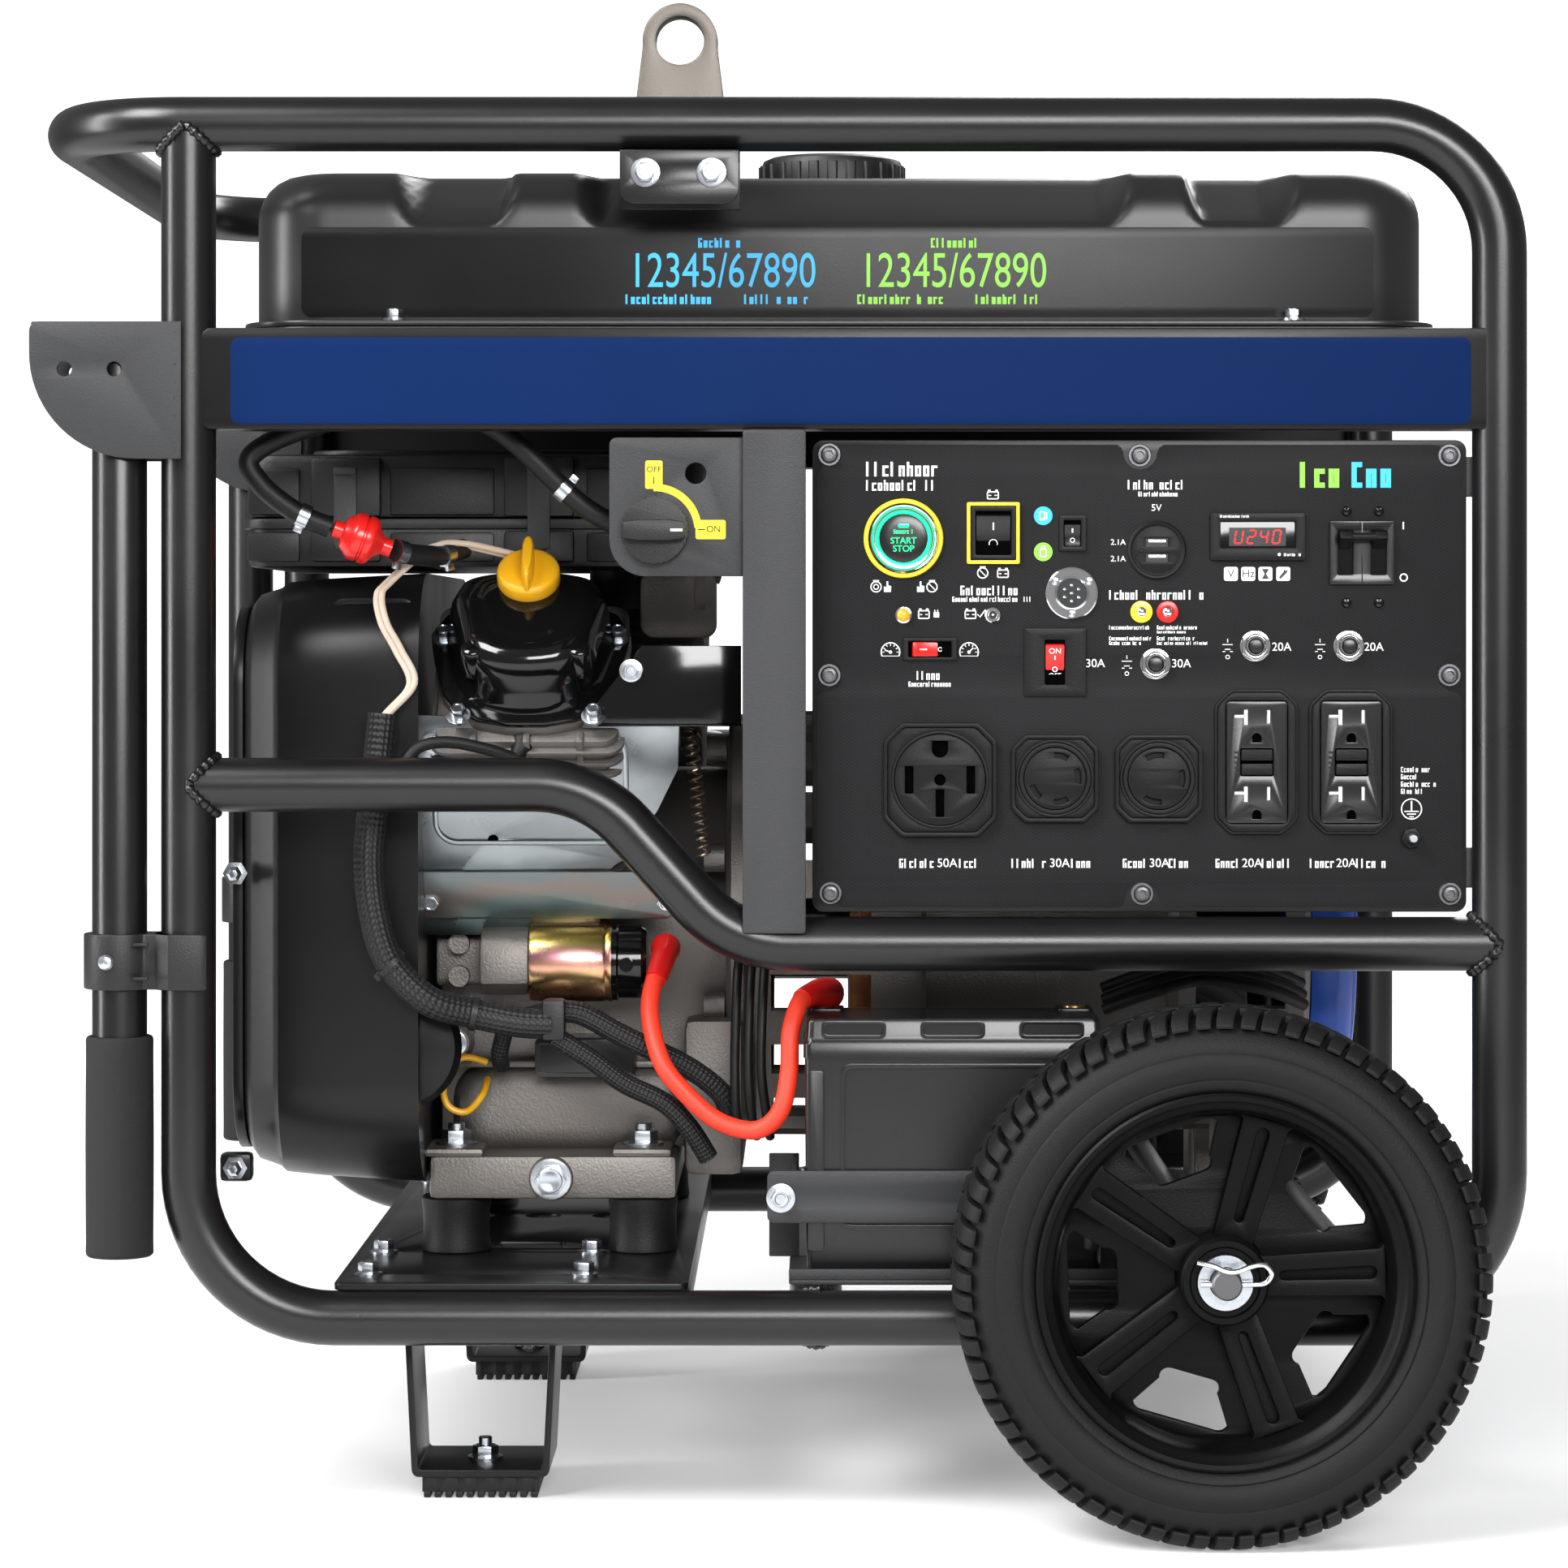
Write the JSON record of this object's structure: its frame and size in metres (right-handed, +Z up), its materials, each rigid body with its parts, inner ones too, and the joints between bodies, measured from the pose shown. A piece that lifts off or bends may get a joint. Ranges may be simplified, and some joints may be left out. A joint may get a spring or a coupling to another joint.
{
  "type": "portable generator",
  "caption": "Wheeled open-frame generator with a V-twin engine, fuel tank on top, lifting eye, control panel with outlets, battery, folding handles and feet.",
  "frame": {"origin": "on the ground, under the middle of the machine", "axes": "+X towards the wheel end, -Y towards the control panel, +Z up"},
  "size_m": [0.8235, 0.784, 0.8706],
  "materials": {
    "black_tube": "satin powder coat with fine orange peel",
    "charcoal_sheet": "fine textured powder coat",
    "lift_steel": "warm grey metallic coat, matt",
    "rubber_black": "moulded rubber",
    "tyre_black": "solid tyre, moulded tread",
    "rim_black": "moulded plastic",
    "axle_steel": "dark steel",
    "zinc": "bright zinc plate",
    "tank_black": "semi-gloss enamel",
    "cap_black": "moulded plastic",
    "outlet_black": "moulded thermoplastic",
    "start_lit": "black button with a lit green ring",
    "switch_red": "lit red rocker",
    "breaker_white": "moulded plastic",
    "battery_black": "smooth moulded case",
    "cast_alloy": "die-cast, slightly rough",
    "cover_black": "gloss enamel",
    "galvanised": "zinc sheet with faint rainbow",
    "hot_steel": "heat-proof coat",
    "cover_blue": "gloss enamel",
    "copper_windings": "lacquered windings and laminations",
    "hose_black": "braided hose and sleeve",
    "grip_foam": "soft foam",
    "oil_yellow": "moulded plastic"
  },
  "bodies": {
    "chassis": {"side_frame_front": "black_tube", "side_frame_rear": "black_tube", "cross_members": "black_tube", "base_plate": "black_tube", "band_beams": "charcoal_sheet", "panel_brackets": "charcoal_sheet", "lift_bar": "lift_steel", "handle_brackets": "charcoal_sheet", "foot_brackets": "black_tube", "foot_pads": "rubber_black", "axle": "axle_steel", "fasteners": "zinc", "fuel_tank": "tank_black", "control_panel": "charcoal_sheet", "control_box": "charcoal_sheet", "panel_fittings": "outlet_black", "round_outlets": "outlet_black", "gfci_outlets": "outlet_black", "battery": "battery_black", "battery_strap": "charcoal_sheet", "crankcase": "cast_alloy", "cylinders": "cast_alloy", "valve_covers": "cover_black", "blower_shroud": "cap_black", "cooling_shrouds": "galvanised", "air_filter_box": "cap_black", "starter_motor": "cast_alloy", "engine_mounts": "rubber_black", "muffler": "hot_steel", "alternator_housing": "cast_alloy", "alternator_end_cover": "cover_blue", "fuel_line": "hose_black", "wiring_harness": "hose_black", "pistons": "zinc"},
    "crank_train": {"crankshaft": "zinc", "rotor": "copper_windings"},
    "wheel_front": {"tyre_front": "tyre_black", "rim_front": "rim_black"},
    "wheel_rear": {"tyre_rear": "tyre_black", "rim_rear": "rim_black"},
    "carry_handle_front": {"handle_front": "black_tube", "grip_front": "grip_foam"},
    "carry_handle_rear": {"handle_rear": "black_tube", "grip_rear": "grip_foam"},
    "start_push": {"start_button": "start_lit"},
    "battery_rocker": {"battery_switch": "outlet_black"},
    "fuel_rocker": {"fuel_switch": "outlet_black"},
    "idle_rocker": {"idle_switch": "switch_red"},
    "breaker_rocker": {"breaker_switch": "switch_red"},
    "main_breaker": {"main_breaker_lever": "cap_black"},
    "valve_knob": {"fuel_knob": "cap_black"},
    "filler_cap": {"tank_cap": "cap_black"},
    "oil_filler_cap": {"oil_cap": "oil_yellow"},
    "breaker_push_1": {"breaker_button_1": "breaker_white"},
    "breaker_push_2": {"breaker_button_2": "breaker_white"},
    "breaker_push_3": {"breaker_button_3": "breaker_white"},
    "test_push_1": {"test_button_1": "outlet_black"},
    "reset_push_1": {"reset_button_1": "outlet_black"},
    "test_push_2": {"test_button_2": "outlet_black"},
    "reset_push_2": {"reset_button_2": "outlet_black"}
  },
  "joints": [
    {"name": "crank_spin", "type": "hinge", "parent": "chassis", "child": "crank_train", "pos_m": [0, -0.03, 0.31], "axis": [1, 0, 0], "continuous": true},
    {"name": "wheel_front_spin", "type": "hinge", "parent": "chassis", "child": "wheel_front", "pos_m": [0.2355, -0.3455, 0.143], "axis": [0, 1, 0], "continuous": true},
    {"name": "wheel_rear_spin", "type": "hinge", "parent": "chassis", "child": "wheel_rear", "pos_m": [0.2355, 0.3455, 0.143], "axis": [0, 1, 0], "continuous": true},
    {"name": "handle_front_swing", "type": "hinge", "parent": "chassis", "child": "carry_handle_front", "pos_m": [-0.3625, -0.2795, 0.629], "axis": [0, 1, 0], "range_deg": [0, 90]},
    {"name": "handle_rear_swing", "type": "hinge", "parent": "chassis", "child": "carry_handle_rear", "pos_m": [-0.3625, 0.2795, 0.629], "axis": [0, 1, 0], "range_deg": [0, 90]},
    {"name": "start_press", "type": "slide", "parent": "chassis", "child": "start_push", "axis": [0, 1, 0], "range_m": [0, 0.002], "stiffness_N_per_m": 400},
    {"name": "battery_switch_tilt", "type": "hinge", "parent": "chassis", "child": "battery_rocker", "pos_m": [0.1173, -0.277, 0.5399], "axis": [1, 0, 0], "range_deg": [-20, 0]},
    {"name": "fuel_switch_tilt", "type": "hinge", "parent": "chassis", "child": "fuel_rocker", "pos_m": [0.1607, -0.277, 0.5397], "axis": [1, 0, 0], "range_deg": [-20, 0]},
    {"name": "idle_switch_tilt", "type": "hinge", "parent": "chassis", "child": "idle_rocker", "pos_m": [0.0825, -0.277, 0.4761], "axis": [0, 0, 1], "range_deg": [-20, 0]},
    {"name": "breaker_switch_tilt", "type": "hinge", "parent": "chassis", "child": "breaker_rocker", "pos_m": [0.1511, -0.277, 0.469], "axis": [1, 0, 0], "range_deg": [-20, 0]},
    {"name": "main_breaker_throw", "type": "hinge", "parent": "chassis", "child": "main_breaker", "pos_m": [0.3194, -0.274, 0.5292], "axis": [1, 0, 0], "range_deg": [0, 50]},
    {"name": "fuel_knob_turn", "type": "hinge", "parent": "chassis", "child": "valve_knob", "pos_m": [-0.068, -0.3, 0.541], "axis": [0, -1, 0], "range_deg": [0, 90]},
    {"name": "tank_cap_lift", "type": "slide", "parent": "chassis", "child": "filler_cap", "axis": [0, 0, 1], "range_m": [0, 0.06]},
    {"name": "oil_cap_pull", "type": "slide", "parent": "chassis", "child": "oil_filler_cap", "axis": [0, -0.7071, 0.7071], "range_m": [0, 0.03]},
    {"name": "breaker_pop_1", "type": "slide", "parent": "chassis", "child": "breaker_push_1", "axis": [0, -1, 0], "range_m": [0, 0.004]},
    {"name": "breaker_pop_2", "type": "slide", "parent": "chassis", "child": "breaker_push_2", "axis": [0, -1, 0], "range_m": [0, 0.004]},
    {"name": "breaker_pop_3", "type": "slide", "parent": "chassis", "child": "breaker_push_3", "axis": [0, -1, 0], "range_m": [0, 0.004]},
    {"name": "test_press_1", "type": "slide", "parent": "chassis", "child": "test_push_1", "axis": [0, 1, 0], "range_m": [0, 0.001], "stiffness_N_per_m": 300},
    {"name": "reset_press_1", "type": "slide", "parent": "chassis", "child": "reset_push_1", "axis": [0, 1, 0], "range_m": [0, 0.001], "stiffness_N_per_m": 300},
    {"name": "test_press_2", "type": "slide", "parent": "chassis", "child": "test_push_2", "axis": [0, 1, 0], "range_m": [0, 0.001], "stiffness_N_per_m": 300},
    {"name": "reset_press_2", "type": "slide", "parent": "chassis", "child": "reset_push_2", "axis": [0, 1, 0], "range_m": [0, 0.001], "stiffness_N_per_m": 300}
  ]
}
